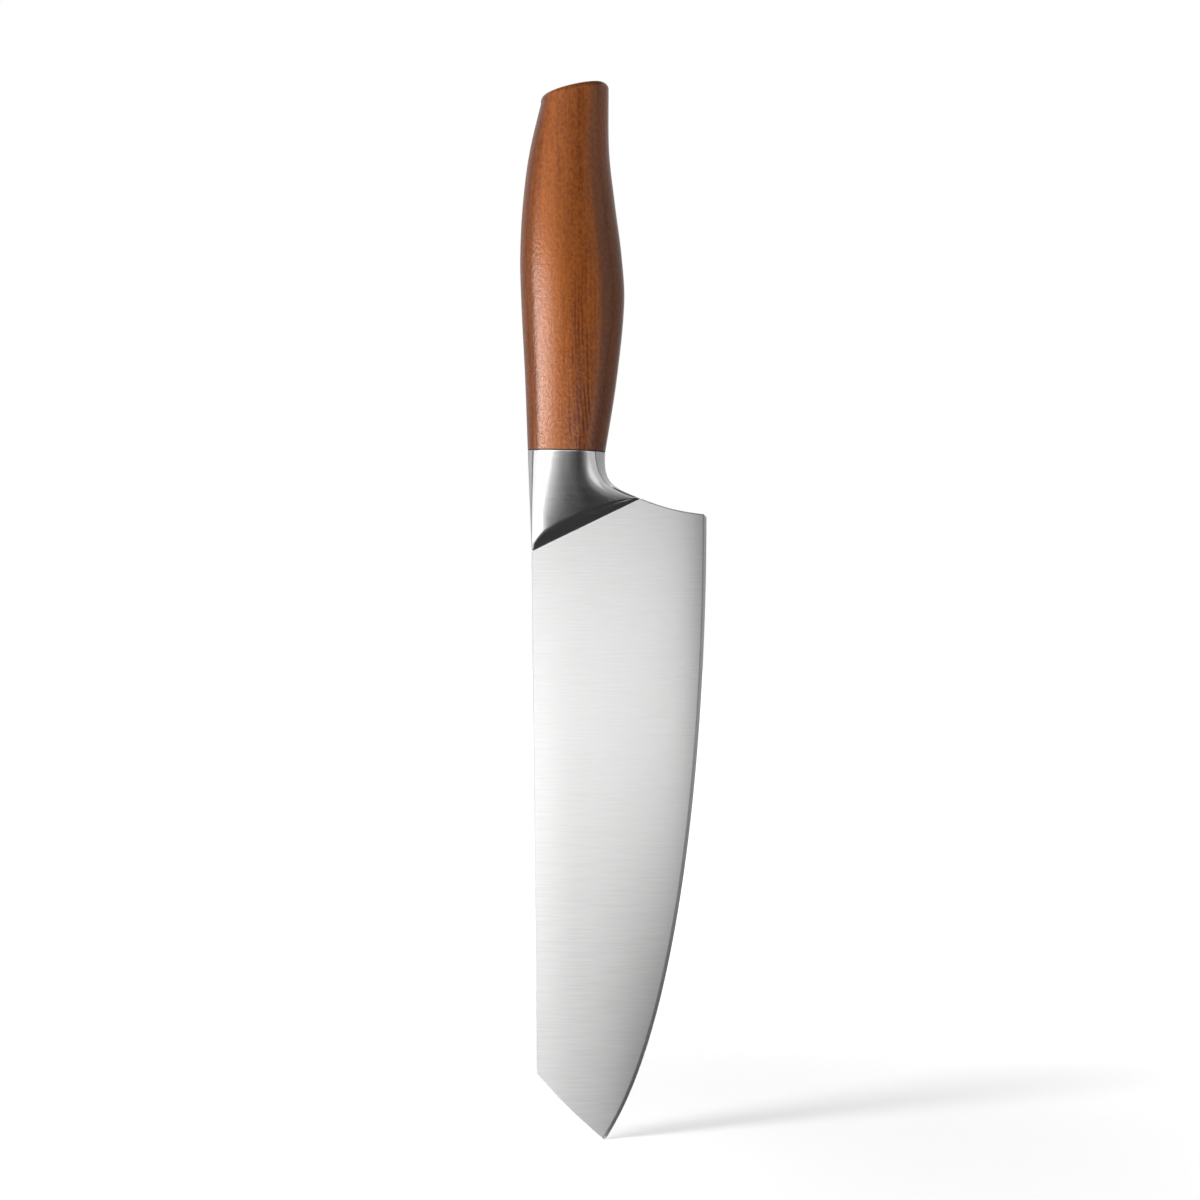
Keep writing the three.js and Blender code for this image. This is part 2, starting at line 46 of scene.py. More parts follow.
# Blade outline. A pull is how long a curve keeps the direction that it starts or ends in.
BLADE_LENGTH = 178  # heel corner to point
BLADE_DEPTH = 49.8  # spine to edge at the heel
POINT_DEPTH = 20.75  # spine to point
POINT_FLAT = 0.4
SPINE_LEAN = 1.5  # how far the spine leans towards the edge by the time it reaches the clip
CLIP_HEIGHT = 18.9
CLIP_CROWN = 0.55
EDGE_HEEL_PULL = 63.4
EDGE_POINT_PULL = 40
EDGE_POINT_ANGLE = 33.4
HEEL_EASE = 0.7
HEEL_RISE = 10.65  # heel corner above the spine end of the shoulder
SHOULDER_WIDTH = 31
SHOULDER_RISE = 15.2
RAMP_ANGLE = 22  # how steeply the belly falls where bolster passes into blade
CHOIL_RAMP_PULL = 8
CHOIL_HEEL_PULL = 7
CHOIL_HEEL_ANGLE = 6.6
BOND_GAP = 0.05

# Blade grind
SPINE_THICKNESS = 2.3
POINT_THICKNESS = 1.5
SPINE_EASE = 0.25  # small bevel along both corners of the spine
GRIND_HEIGHT = 30  # from the edge to the flats
GRIND_POWER = 3.5  # how strongly the grind bellies out above the edge
EDGE_THICKNESS = 0.4  # just behind the sharpened bevel
BEVEL_WIDTH = 0.8
EDGE_LAND = 0.06
NARROW_BEVEL = 0.33  # most of the blade's depth that the bevel takes up close to the point
NARROW_EASE = 0.12  # and the most that the spine's small bevels take there
CHOIL_EASE = 0.25  # small bevel along the top line
CHOIL_FADE = 2  # over which that bevel fades out at both ends

# Bolster
BOLSTER_LENGTH = 28.75
CREST_THICKNESS = 7
CREST_ROUND = 0.5
COVE_HEIGHT = 3.45
COVE_END_HEIGHT = 1.3
COVE_EVENNESS = 4  # the higher, the further out the cove keeps its height
COVE_POWER = 1.3  # how hollow the cove is
BELLY_LEAN = 4.3
BELLY_JOINT_PULL = 8.6
BELLY_RAMP_PULL = 8.8
RIM_ROUND = 0.18

# Handle. The stations are shares of its length, and it bends smoothly through the places there.
HANDLE_LENGTH = 100.6
JOINT_WIDTH = 22.1
JOINT_BACK = 1.1  # how far the joint stands out behind the spine
JOINT_THICKNESS = 17.4
JOINT_SLANT = 0.6  # belly end of the joint below its spine end
FILM_THICKNESS = 0.3  # adhesive between bolster and wood
OVAL_POWER = 2.35  # 2 is an ellipse, more is fuller
BUTT_DROP = 4.4  # spine side of the butt below its belly side
BUTT_ROUND = 2
BUTT_ROUND_SWEEP = 75
BUTT_CROWN = 1.2
HANDLE_STATIONS = (0, 0.2, 0.42, 0.55, 0.7, 0.845, 1.03)
HANDLE_BACK = (-JOINT_BACK, -1.85, -2.95, -3.25, -2.45, -0.5, 4)
HANDLE_BELLY = (JOINT_WIDTH - JOINT_BACK, 24.2, 26.4, 25.65, 23.7, 22.1, 21.95)
HANDLE_THICKNESS = (JOINT_THICKNESS, 19, 20.4, 20.6, 19.8, 18.4, 17)

# Place of the layout's zero in the row frame: the origin is the middle of the rack face
RACK_SETBACK = 8
RACK_HEIGHT = 95

# Fineness of the curves
EDGE_POINTS = 4000
BELLY_POINTS = 2000
OUTLINE_POINTS = 400
HEEL_POINTS = 40
SLOPE_STEP = 0.5  # over which the slant of the edge is measured
TOP_ROUNDS = 20  # of the search for where the columns meet the blade's top line

# Fineness of the meshes
BLADE_TOP_START = 150  # where the blade's rows begin to turn towards the shoulder
CLIP_ROWS = 26
BLADE_ROWS = 110
SHOULDER_ROWS = 36
GRIND_STEPS = 43
GRIND_CROWDING = 1.5  # above 1 the steps lie closer together near the edge
FLAT_STEPS = 14
RIM_ROWS = 6
BOLSTER_ROWS = 70
CREST_ROWS = 90
CREST_MARGIN = 1.15  # the crest's finer rows begin this many heights of the cove above the blade
HANDLE_ROWS = 150
BUTT_ROWS = 16
CROWN_ROWS = 24
OVAL_COLUMNS = 161
SAME_PLACE = 1e-7  # in metres: points closer than this are one

SHOULDER_LOW = BLADE_LENGTH - HEEL_RISE
JOINT_HEIGHT = SHOULDER_LOW + BOLSTER_LENGTH
WOOD_START = JOINT_HEIGHT + FILM_THICKNESS
FLAT_AT_RACK = POINT_THICKNESS + (SPINE_THICKNESS - POINT_THICKNESS) * RACK_HEIGHT / SHOULDER_LOW
LAYOUT_ZERO = np.array([-RACK_SETBACK, -FLAT_AT_RACK / 2, -RACK_HEIGHT])


def lerp(a, b, share):
    return a + (b - a) * share


def falling(degrees):
    """A direction in X and Z that falls by the given degrees on its way to the edge."""
    return np.array([math.cos(math.radians(degrees)), -math.sin(math.radians(degrees))])


def bezier(corners, count):
    """Points along a curve drawn by its control corners."""
    t = np.linspace(0, 1, count)[:, None]
    layers = [np.repeat(np.array(c, float)[None, :], count, axis=0) for c in corners]
    while len(layers) > 1:
        layers = [lerp(a, b, t) for a, b in zip(layers, layers[1:])]
    return layers[0]


def evenly(points, shares):
    """Points at shares of a line's length."""
    steps = np.hypot(*np.diff(points, axis=0).T)
    travelled = np.concatenate([[0], np.cumsum(steps)]) / steps.sum()
    return np.stack([np.interp(shares, travelled, points[:, k]) for k in (0, 1)], axis=1)


# Corners that the pieces share, as X and Z
shoulder_spine = np.array([0, SHOULDER_LOW])
shoulder_belly = np.array([SHOULDER_WIDTH, SHOULDER_LOW + SHOULDER_RISE])
joint_spine = np.array([-JOINT_BACK, JOINT_HEIGHT])
joint_belly = np.array([JOINT_WIDTH - JOINT_BACK, JOINT_HEIGHT - JOINT_SLANT])
heel = np.array([BLADE_DEPTH, BLADE_LENGTH])


class Wire:
    """A node's output. Arithmetic on it adds the Math nodes that it needs."""

    def __init__(self, nodes, socket):
        self.nodes = nodes
        self.socket = socket

    def maths(self, operation, *values):
        return self.nodes.add("ShaderNodeMath", {"operation": operation}, dict(enumerate(values)))

    def __add__(self, other):
        return self.maths("ADD", self, other)

    def __radd__(self, other):
        return self.maths("ADD", other, self)

    def __sub__(self, other):
        return self.maths("SUBTRACT", self, other)

    def __rsub__(self, other):
        return self.maths("SUBTRACT", other, self)

    def __mul__(self, other):
        return self.maths("MULTIPLY", self, other)

    def __rmul__(self, other):
        return self.maths("MULTIPLY", other, self)

    def __truediv__(self, other):
        return self.maths("DIVIDE", self, other)

    def __rtruediv__(self, other):
        return self.maths("DIVIDE", other, self)

    def __pow__(self, other):
        return self.maths("POWER", self, other)

    def __neg__(self):
        return self.maths("MULTIPLY", self, -1)

    def __abs__(self):
        return self.maths("ABSOLUTE", self)

    def sine(self):
        return self.maths("SINE", self)

    def cosine(self):
        return self.maths("COSINE", self)

    def sign(self):
        return self.maths("SIGN", self)

    def rounded(self):
        return self.maths("ROUND", self)

    def least(self, other):
        return self.maths("MINIMUM", self, other)

    def most(self, other):
        return self.maths("MAXIMUM", self, other)

    def between(self, low, high):
        """0 up to low, 1 from high on, and a soft rise between them."""
        settings = {"interpolation_type": "SMOOTHSTEP"}
        return self.nodes.add("ShaderNodeMapRange", settings, {"Value": self, 1: low, 2: high})

    def part(self, axis):
        """One coordinate of a vector."""
        return self.nodes.add("ShaderNodeSeparateXYZ", {}, {0: self}, out=axis)


class Nodes:
    """A node tree that is being written."""

    def __init__(self, tree):
        self.tree = tree
        tree.nodes.clear()

    def add(self, kind, settings, sockets, out=0):
        """A node of a kind, with its settings made first and then its sockets set or linked."""
        node = self.tree.nodes.new(kind)
        for name, value in settings.items():
            setattr(node, name, value)
        for key, value in sockets.items():
            if isinstance(value, Wire):
                self.tree.links.new(value.socket, node.inputs[key])
            else:
                node.inputs[key].default_value = value
        return Wire(self, node.outputs[out]) if node.outputs else node


# Shapes. A tree takes a rough mesh, whose points carry what its rule needs, to the finished form.


def tree_with_inputs(name, inputs):
    """A Geometry Nodes tree with named inputs, and wires that carry them."""
    tree = bpy.data.node_groups.new(name, "GeometryNodeTree")
    tree.interface.new_socket("Geometry", in_out="OUTPUT", socket_type="NodeSocketGeometry")
    tree.interface.new_socket("Geometry", in_out="INPUT", socket_type="NodeSocketGeometry")
    for label, kind in inputs.items():
        tree.interface.new_socket(label, in_out="INPUT", socket_type=kind)
    nodes = Nodes(tree)
    first = nodes.add("NodeGroupInput", {}, {})
    wires = {s.name: Wire(nodes, s) for s in first.socket.node.outputs if s.name}
    return nodes, wires


def end_tree(nodes, geometry, material):
    """The tree's last steps."""
    real = nodes.add("GeometryNodeRealizeInstances", {}, {0: geometry})
    dressed = nodes.add("GeometryNodeSetMaterial", {}, {"Geometry": real, "Material": material})
    nodes.add("NodeGroupOutput", {}, {0: dressed})
    return nodes.tree


def stored(nodes, label, kind="FLOAT"):
    """What the points of a rough mesh carry under a label."""
    return nodes.add("GeometryNodeInputNamedAttribute", {"data_type": kind}, {"Name": label})


def oval_tree(name, inputs, rule):
    """Ovals laid across a back line and a belly line, one for each point of the incoming mesh.

    A point stands on the back line, and its belly attribute is the other end of its oval. The rule
    gives the swell of the oval's cheeks and the half thickness of its two ends, which is reached two
    columns away from them. The piece keeps how far each place lies from the middle, -1 at the back
    and 1 at the belly.
    """
    nodes, given = tree_with_inputs(name, {
        "Oval power": "NodeSocketFloat",
        "Columns": "NodeSocketInt",
        **inputs,
        "Finish": "NodeSocketMaterial",
    })
    rows = nodes.add("GeometryNodeAttributeDomainSize", {}, {0: given["Geometry"]})
    sheet = nodes.add("GeometryNodeMeshGrid", {}, {
        "Size X": 1.0,
        "Size Y": 1.0,
        "Vertices X": given["Columns"],
        "Vertices Y": rows,
    })
    place = nodes.add("GeometryNodeInputPosition", {}, {})
    row = ((place.part(1) + 0.5) * (rows - 1)).rounded()

    def of_row(label, kind="FLOAT"):
        """What the row's point carries, or where it stands on the back line."""
        value = place if label == "back" else stored(nodes, label, kind)
        settings = {"data_type": kind, "domain": "POINT"}
        sockets = {"Geometry": given["Geometry"], "Value": value, "Index": row}
        return nodes.add("GeometryNodeSampleIndex", settings, sockets)

    turn = (place.part(0) + 0.5) * (2 * math.pi)
    cosine, sine = turn.cosine(), turn.sine()
    bend = 2 / given["Oval power"]
    across = -(cosine.sign() * abs(cosine) ** bend)
    share = across * 0.5 + 0.5
    swell, end_half = rule(given, of_row, across, share)
    two_columns = 4 * math.pi / given["Columns"]
    over_end = (sine / two_columns.sine()).least(1).most(-1)
    out = over_end * end_half + sine.sign() * abs(sine) ** bend * swell

    ends = {4: of_row("back", "FLOAT_VECTOR"), 5: of_row("belly", "FLOAT_VECTOR")}
    line = nodes.add("ShaderNodeMix", {"data_type": "VECTOR"}, {0: share, **ends}, out=1)
    aside = nodes.add("ShaderNodeCombineXYZ", {}, {1: -out})
    there = nodes.add("ShaderNodeVectorMath", {"operation": "ADD"}, {0: line, 1: aside})
    mark = {"Geometry": sheet, "Name": "across", "Value": across * of_row("reach")}
    kept = {"data_type": "FLOAT", "domain": "POINT"}
    marked = nodes.add("GeometryNodeStoreNamedAttribute", kept, mark)
    wrapped = nodes.add("GeometryNodeSetPosition", {}, {"Geometry": marked, "Position": there})
    closed = nodes.add("GeometryNodeMergeByDistance", {}, {"Geometry": wrapped, "Distance": SAME_PLACE})
    smooth = nodes.add("GeometryNodeSetShadeSmooth", {}, {"Geometry": closed, "Shade Smooth": True})
    return end_tree(nodes, smooth, given["Finish"])


def handle_tree():
    """A plain oval everywhere, as thick as each row says."""

    def rule(given, of_row, across, share):
        half = of_row("half")
        return half, half * 0

    return oval_tree("handle_ovals", {}, rule)


def bolster_tree():
    """Cheeks that scoop in from the joint to the crest, and a cove from the crest down to the blade."""

    def rule(given, of_row, across, share):
        down = of_row("down")
        middle, end = given["Cove share"], given["Cove end share"]
        cove = middle + (end - middle) * abs(across) ** given["Cove evenness"]
        joint, crest = given["Joint swell"], given["Crest swell"]
        left = (1 - down / (1 - cove)).most(0)
        scooped = crest + (joint - crest) * left
        hollow = crest * ((1 - down) / cove) ** given["Cove power"]
        blend = given["Crest round"]
        near = (blend - abs(scooped - hollow)).most(0)
        swell = scooped.least(hollow) - near * near / (4 * blend) - of_row("inset")
        open_row = of_row("open")
        back_half = of_row("back_half")
        end_half = back_half + (of_row("belly_half") - back_half) * share
        return swell * open_row, end_half * open_row

    sizes = (
        "Joint swell",
        "Crest swell",
        "Crest round",
        "Cove share",
        "Cove end share",
        "Cove evenness",
        "Cove power",
    )
    return oval_tree("bolster_ovals", {label: "NodeSocketFloat" for label in sizes}, rule)


def grind_tree():
    """A flat blank ground to a blade: each point's thickness follows its distance from the edge.

    The blank's points carry their distance from the edge, the width that the bevel has there, how much
    the small bevels along the spine and the top line take off, and the side of the blade that they are
    on.
    """
    nodes, given = tree_with_inputs("grind", {
        "Thickness at shoulder": "NodeSocketFloat",
        "Thickness at point": "NodeSocketFloat",
        "Point height": "NodeSocketFloat",
        "Shoulder height": "NodeSocketFloat",
        "Grind height": "NodeSocketFloat",
        "Grind power": "NodeSocketFloat",
        "Edge thickness": "NodeSocketFloat",
        "Edge land": "NodeSocketFloat",
        "Middle plane": "NodeSocketFloat",
        "Finish": "NodeSocketMaterial",
    })
    place = nodes.add("GeometryNodeInputPosition", {}, {})
    height = place.part(2) - given["Point height"]
    rise = height / (given["Shoulder height"] - given["Point height"])
    thick = given["Thickness at point"]
    flat = (thick + (given["Thickness at shoulder"] - thick) * rise) * 0.5
    from_edge = stored(nodes, "from_edge")
    bevel = stored(nodes, "bevel")
    grind = given["Grind height"]
    share = ((grind - from_edge) / (grind - bevel)).most(0).least(1)
    edge_half = given["Edge thickness"] * 0.5
    ground = flat - (flat - edge_half) * share ** given["Grind power"]
    land_half = given["Edge land"] * 0.5
    sharpened = land_half + (edge_half - land_half) * from_edge / bevel
    in_bevel = from_edge.maths("LESS_THAN", from_edge, bevel)
    eased = stored(nodes, "spine_ease")
    half = ground + (sharpened - ground) * in_bevel - eased
    there = nodes.add("ShaderNodeCombineXYZ", {}, {
        0: place.part(0),
        1: given["Middle plane"] + stored(nodes, "side") * half,
        2: place.part(2),
    })
    moved = nodes.add("GeometryNodeSetPosition", {}, {"Geometry": given["Geometry"], "Position": there})
    smooth = nodes.add("GeometryNodeSetShadeSmooth", {}, {"Geometry": moved, "Shade Smooth": True})
    return end_tree(nodes, smooth, given["Finish"])


def rough_mesh(name, points, faces=(), **attributes):
    """A mesh at its place in the row frame, with attributes on its points."""
    mesh = bpy.data.meshes.new(name)
    mesh.from_pydata((np.asarray(points) + LAYOUT_ZERO) * MM, [], faces)
    for label, values in attributes.items():
        values = np.asarray(values, np.float32)
        kind, key = ("FLOAT_VECTOR", "vector") if values.ndim == 2 else ("FLOAT", "value")
        attribute = mesh.attributes.new(label, kind, "POINT")
        attribute.data.foreach_set(key, values.ravel())
    return mesh


def shaped(name, mesh, tree, sizes, crease):
    """The piece that a tree makes of a rough mesh, as a plain mesh.

    Edges that turn by more degrees than the crease stay crisp.
    """
    piece = bpy.data.objects.new(name, mesh)
    bpy.context.scene.collection.objects.link(piece)
    modifier = piece.modifiers.new("shape", "NODES")
    modifier.node_group = tree
    for item in tree.interface.items_tree:
        if item.in_out == "INPUT" and item.name in sizes:
            modifier[item.identifier] = sizes[item.name]
    depsgraph = bpy.context.evaluated_depsgraph_get()
    plain = bpy.data.meshes.new_from_object(piece.evaluated_get(depsgraph), depsgraph=depsgraph)
    piece.modifiers.remove(modifier)
    piece.data = plain
    plain.name = name
    work = bmesh.new()
    work.from_mesh(plain)
    bmesh.ops.recalc_face_normals(work, faces=work.faces)
    work.to_mesh(plain)
    work.free()
    plain.set_sharp_from_angle(angle=math.radians(crease))
    return piece


def blade_blank():
    """The blade cut out flat, both sides of it, with each point's distances for the grind."""
    start = np.array([POINT_DEPTH + POINT_FLAT / 2, 0])
    edge = bezier([
        start,
        start + falling(EDGE_POINT_ANGLE - 90) * EDGE_POINT_PULL,
        heel - np.array([0, EDGE_HEEL_PULL]),
        heel,
    ], EDGE_POINTS)
    tip = np.array([POINT_DEPTH - POINT_FLAT / 2, 0])
    corner = np.array([SPINE_LEAN, CLIP_HEIGHT])
    chord = corner - tip
    outward = np.array([-chord[1], chord[0]]) / np.hypot(*chord)
    clip = bezier([tip, (tip + corner) / 2 + outward * 2 * CLIP_CROWN, corner], OUTLINE_POINTS)
    ease_start = heel - falling(CHOIL_HEEL_ANGLE) * HEEL_EASE
    choil = np.concatenate([
        bezier([
            shoulder_belly,
            shoulder_belly + falling(RAMP_ANGLE) * CHOIL_RAMP_PULL,
            heel - falling(CHOIL_HEEL_ANGLE) * CHOIL_HEEL_PULL,
            ease_start,
        ], OUTLINE_POINTS),
        bezier([ease_start, heel, heel - np.array([0, HEEL_EASE])], HEEL_POINTS)[1:],
    ])

    def spine_x(z):
        straight = SPINE_LEAN * (SHOULDER_LOW - z) / (SHOULDER_LOW - CLIP_HEIGHT)
        return np.where(z < CLIP_HEIGHT, np.interp(z, clip[:, 1], clip[:, 0]), straight)

    def edge_x(z):
        return np.interp(z, edge[:, 1], edge[:, 0])

    def top_of(x):
        shoulder = SHOULDER_LOW + SHOULDER_RISE * x / SHOULDER_WIDTH - BOND_GAP
        return np.where(x <= SHOULDER_WIDTH, shoulder, np.interp(x, choil[:, 0], choil[:, 1]))

    steps = (np.arange(GRIND_STEPS + 1) / GRIND_STEPS) ** GRIND_CROWDING
    flats = np.arange(1, FLAT_STEPS + 1) / FLAT_STEPS
    grind = slice(1, 1 + len(steps))
    flat = slice(grind.stop, grind.stop + len(flats))
    count = flat.stop + 1

    def columns(z):
        """X, distance from the edge, bevel width and spine ease of each column at its own heights.

        The first column runs along the edge and the last one along the spine.
        """
        spine, edge_end = spine_x(z), edge_x(z)
        above, below = z + SLOPE_STEP, np.maximum(z - SLOPE_STEP, 0)
        slope = (edge_x(above) - edge_x(below)) / (above - below)
        slant = 1 / np.hypot(1, slope)
        reach = (edge_end - spine) * slant
        ease = np.minimum(SPINE_EASE, reach * NARROW_EASE)
        bevel = np.minimum(BEVEL_WIDTH, reach * NARROW_BEVEL)
        top = np.minimum(GRIND_HEIGHT, reach - 2 * ease)
        away, eased = np.zeros(z.shape), np.zeros(z.shape)
        away[:, grind] = lerp(bevel[:, grind], top[:, grind], steps)
        away[:, flat] = lerp(top[:, flat], (reach - ease)[:, flat], flats)
        away[:, -1] = reach[:, -1]
        eased[:, -1] = ease[:, -1]
        return edge_end - away / slant, away, bevel, eased

    low = np.concatenate([
        np.linspace(0, CLIP_HEIGHT, CLIP_ROWS, endpoint=False),
        np.linspace(CLIP_HEIGHT, BLADE_TOP_START, BLADE_ROWS, endpoint=False),
    ])
    x = columns(np.full((1, count), float(BLADE_LENGTH)))[0]
    for _ in range(TOP_ROUNDS):
        x = columns(np.minimum(top_of(x), BLADE_LENGTH + SHOULDER_RISE))[0]
    ends = top_of(x)
    on_choil = np.clip((x[0] - SHOULDER_WIDTH) / CHOIL_FADE, 0, 1)
    share = np.linspace(0, 1, SHOULDER_ROWS)[:, None]
    heights = np.concatenate([
        np.repeat(low[:, None], count, axis=1),
        lerp(BLADE_TOP_START, ends - CHOIL_EASE, share),
        ends,
    ])
    x, away, bevel, eased = columns(heights)
    from_heel = np.minimum(away[-1] / CHOIL_FADE, 1)
    eased[-1] = np.maximum(eased[-1], CHOIL_EASE * on_choil * from_heel)

    points = np.stack([x.ravel(), np.zeros(x.size), heights.ravel()], axis=1)
    here = np.arange(heights.size).reshape(heights.shape)
    corners = here[:-1, :-1], here[:-1, 1:], here[1:, 1:], here[1:, :-1]
    front = np.stack([corner.ravel() for corner in corners], axis=1)
    border = np.concatenate([here[0, :-1], here[:-1, -1], here[-1, :0:-1], here[:0:-1, 0]])
    onward = np.roll(border, -1)
    wall = np.stack([border, onward, onward + here.size, border + here.size], axis=1)
    faces = np.concatenate([front, front[:, ::-1] + here.size, wall])

    def both(values):
        """A length for each point, the same on both sides of the blade."""
        return np.tile(values.ravel(), 2) * MM

    return rough_mesh(
        "blade",
        np.tile(points, (2, 1)),
        faces.tolist(),
        from_edge=both(away),
        bevel=both(bevel),
        spine_ease=both(eased),
        side=np.repeat([-1.0, 1.0], here.size),
    )


def upright(line):
    """Points of the middle plane from their X and Z."""
    return np.stack([line[:, 0], np.zeros(len(line)), line[:, 1]], axis=1)


def rows_mesh(name, back, belly, **attributes):
    """One point for each row of ovals, with the row's other end and what else its rule needs."""
    return rough_mesh(name, upright(back), belly=(upright(belly) + LAYOUT_ZERO) * MM, **attributes)


def flat_half(z):
    """Half the thickness of the blade's flats at a height."""
    return lerp(POINT_THICKNESS, SPINE_THICKNESS, z / SHOULDER_LOW) / 2


# Length of the bolster halfway between its spine and its belly
BOLSTER_MIDDLE = np.hypot(*(joint_spine + joint_belly - shoulder_spine - shoulder_belly)) / 2


def bolster_rows():
    """Rows that fan out from the handle's joint to the slanted shoulder, closed at both ends."""
    curve = bezier([
        joint_belly,
        joint_belly + falling(90 + BELLY_LEAN) * BELLY_JOINT_PULL,
        shoulder_belly - falling(RAMP_ANGLE) * BELLY_RAMP_PULL,
        shoulder_belly,
    ], BELLY_POINTS)
    rim = RIM_ROUND / BOLSTER_MIDDLE
    near_crest = 1 - CREST_MARGIN * COVE_HEIGHT / BOLSTER_MIDDLE
    down = np.concatenate([
        [0],
        np.linspace(0, rim, RIM_ROWS),
        np.linspace(rim, near_crest, BOLSTER_ROWS)[1:],
        np.linspace(near_crest, 1, CREST_ROWS)[1:],
        [1],
    ])
    back = lerp(joint_spine, shoulder_spine, down[:, None])
    belly = evenly(curve, down)
    inset = RIM_ROUND * (1 - np.sqrt(1 - (1 - np.minimum(down / rim, 1)) ** 2))
    across = (belly - back) / np.hypot(*(belly - back).T)[:, None] * inset[:, None]
    back, belly = back + across, belly - across
    open_row = np.ones(len(down))
    for pole in (0, -1):
        back[pole] = belly[pole] = (back[pole] + belly[pole]) / 2
        open_row[pole] = 0
    return rows_mesh(
        "bolster", back, belly,
        down=down,
        inset=inset * MM,
        open=open_row,
        reach=open_row,
        back_half=flat_half(back[:, 1]) * down * MM,
        belly_half=flat_half(belly[:, 1]) * down * MM,
    )


def through_stations(values, shares):
    """A smooth curve through the handle's stations."""
    at, values = np.array(HANDLE_STATIONS), np.array(values, float)
    slopes = np.empty(len(at))
    slopes[1:-1] = (values[2:] - values[:-2]) / (at[2:] - at[:-2])
    slopes[0] = (values[1] - values[0]) / (at[1] - at[0])
    slopes[-1] = (values[-1] - values[-2]) / (at[-1] - at[-2])
    i = np.clip(np.searchsorted(at, shares, side="right") - 1, 0, len(at) - 2)
    span = at[i + 1] - at[i]
    t = (shares - at[i]) / span
    bend = slopes[i] * span * (1 - t) ** 2 * t - slopes[i + 1] * span * (1 - t) * t ** 2
    return values[i] + (values[i + 1] - values[i]) * t * t * (3 - 2 * t) + bend


def handle_rows():
    """Rows that turn from the joint to the slanted butt, then round over into its crown."""
    share = np.linspace(0, 1, HANDLE_ROWS)
    back_rise = share * (HANDLE_LENGTH - BUTT_DROP / 2)
    belly_rise = share * (HANDLE_LENGTH + BUTT_DROP / 2)
    back_x = through_stations(HANDLE_BACK, back_rise / HANDLE_LENGTH)
    belly_x = through_stations(HANDLE_BELLY, belly_rise / HANDLE_LENGTH)
    back = np.stack([back_x, WOOD_START + back_rise], axis=1)
    belly = np.stack([belly_x, WOOD_START - JOINT_SLANT * (1 - share) + belly_rise], axis=1)
    half = through_stations(HANDLE_THICKNESS, share) / 2

    middle = (back[-1] + belly[-1]) / 2
    reach = np.hypot(*(belly[-1] - back[-1])) / 2
    across = (belly[-1] - back[-1]) / (2 * reach)
    up = np.array([-across[1], across[0]])
    sweep = math.radians(BUTT_ROUND_SWEEP)
    turns = np.linspace(0, sweep, BUTT_ROWS)[1:]
    scales = np.cos(np.linspace(0, math.pi / 2, CROWN_ROWS))[1:]
    turns = np.concatenate([turns, np.full(len(scales), sweep)])
    scale = np.concatenate([np.ones(BUTT_ROWS - 1), scales])
    inset = BUTT_ROUND * (1 - np.cos(turns))
    rise = (BUTT_ROUND * np.sin(turns) + BUTT_CROWN * (1 - scale ** 2))[:, None]
    width = ((reach - inset) * scale)[:, None]
    front = (back[:1] + belly[:1]) / 2
    back = np.concatenate([front, back, middle - across * width + up * rise])
    belly = np.concatenate([front, belly, middle + across * width + up * rise])
    half = np.concatenate([[0], half, (half[-1] - inset) * scale])
    outer = np.concatenate([[0], np.ones(HANDLE_ROWS), scale ** 2])
    return rows_mesh("handle", back, belly, half=half * MM, reach=outer)


# Finishes. Places and lengths are in metres, in the row frame.

BEVEL_LINE = (BEVEL_WIDTH + 0.1) * MM  # from the edge to the painted dark line, painted shade for the crease where the bevel begins
BEVEL_LINE_HALF = 0.3 * MM
# Colour and strength of the painted shade along the bevel's crease
BEVEL_CREASE_SHADE_COLOUR = (0.3, 0.3, 0.3)
BEVEL_CREASE_SHADE_STRENGTH = 0.8
POLISH_START = 0.004  # X from which the polish rolls off towards the spine
POLISH_REACH = 0.012
POLISH_FADE = (-0.01, 0.07)  # heights between which it rolls off less and less
POLISH_LOSS = 0.75
LINES_STRENGTH = 0.35
LINES_TURN = 0.25  # of a full turn, so that what the steel mirrors is stretched up and down

PITH = (-0.047, 0.034)  # X and Y of the middle of the wood's rings
PITH_SWAY = 0.005
BAND_WIDTH = 0.0127  # of the broad light and dark bands
BAND_TURN = 5.5
RING_WIDTH = 0.0009
RING_RIPPLE = 0.0016
FIGURE_FADE = (0.115, 0.165)  # heights between which the wavy lines fade out
BUTT_FADE = (0.15, 0.195)  # heights between which the painted shade at the butt comes in
BELLY_FADE = (0.11, 0.15)  # heights between which the painted shade on the belly flank widens
WOOD_LIGHT = (0.415, 0.118, 0.022)
WOOD_DARK = (0.15, 0.034, 0.006)
# Colour of the painted shade along the back, on the belly flank and at the butt
WOOD_PAINTED_SHADE = (0.09, 0.024, 0.007)
PORE_DEPTH = 0.00005
PORE_STRENGTH = 0.7


def new_finish(name):
    """A new material, its nodes, and a wire with the place on the piece."""
    material = bpy.data.materials.new(name)
    material.use_nodes = True
    nodes = Nodes(material.node_tree)
    return material, nodes, nodes.add("ShaderNodeTexCoord", {}, {}, out="Object")


def carried(nodes, label):
    """What the points of a finished piece carry under a label."""
    return nodes.add("ShaderNodeAttribute", {"attribute_name": label}, {}, out="Fac")


def grain(nodes, place, scale, detail=3.0, roughness=0.55, shift=(0, 0, 0)):
    """Noise stretched by a scale for each axis, in repeats per metre."""
    there = nodes.add("ShaderNodeMapping", {}, {"Vector": place, "Location": shift, "Scale": scale})
    sockets = {"Vector": there, "Scale": 1.0, "Detail": detail, "Roughness": roughness}
    return nodes.add("ShaderNodeTexNoise", {}, sockets)


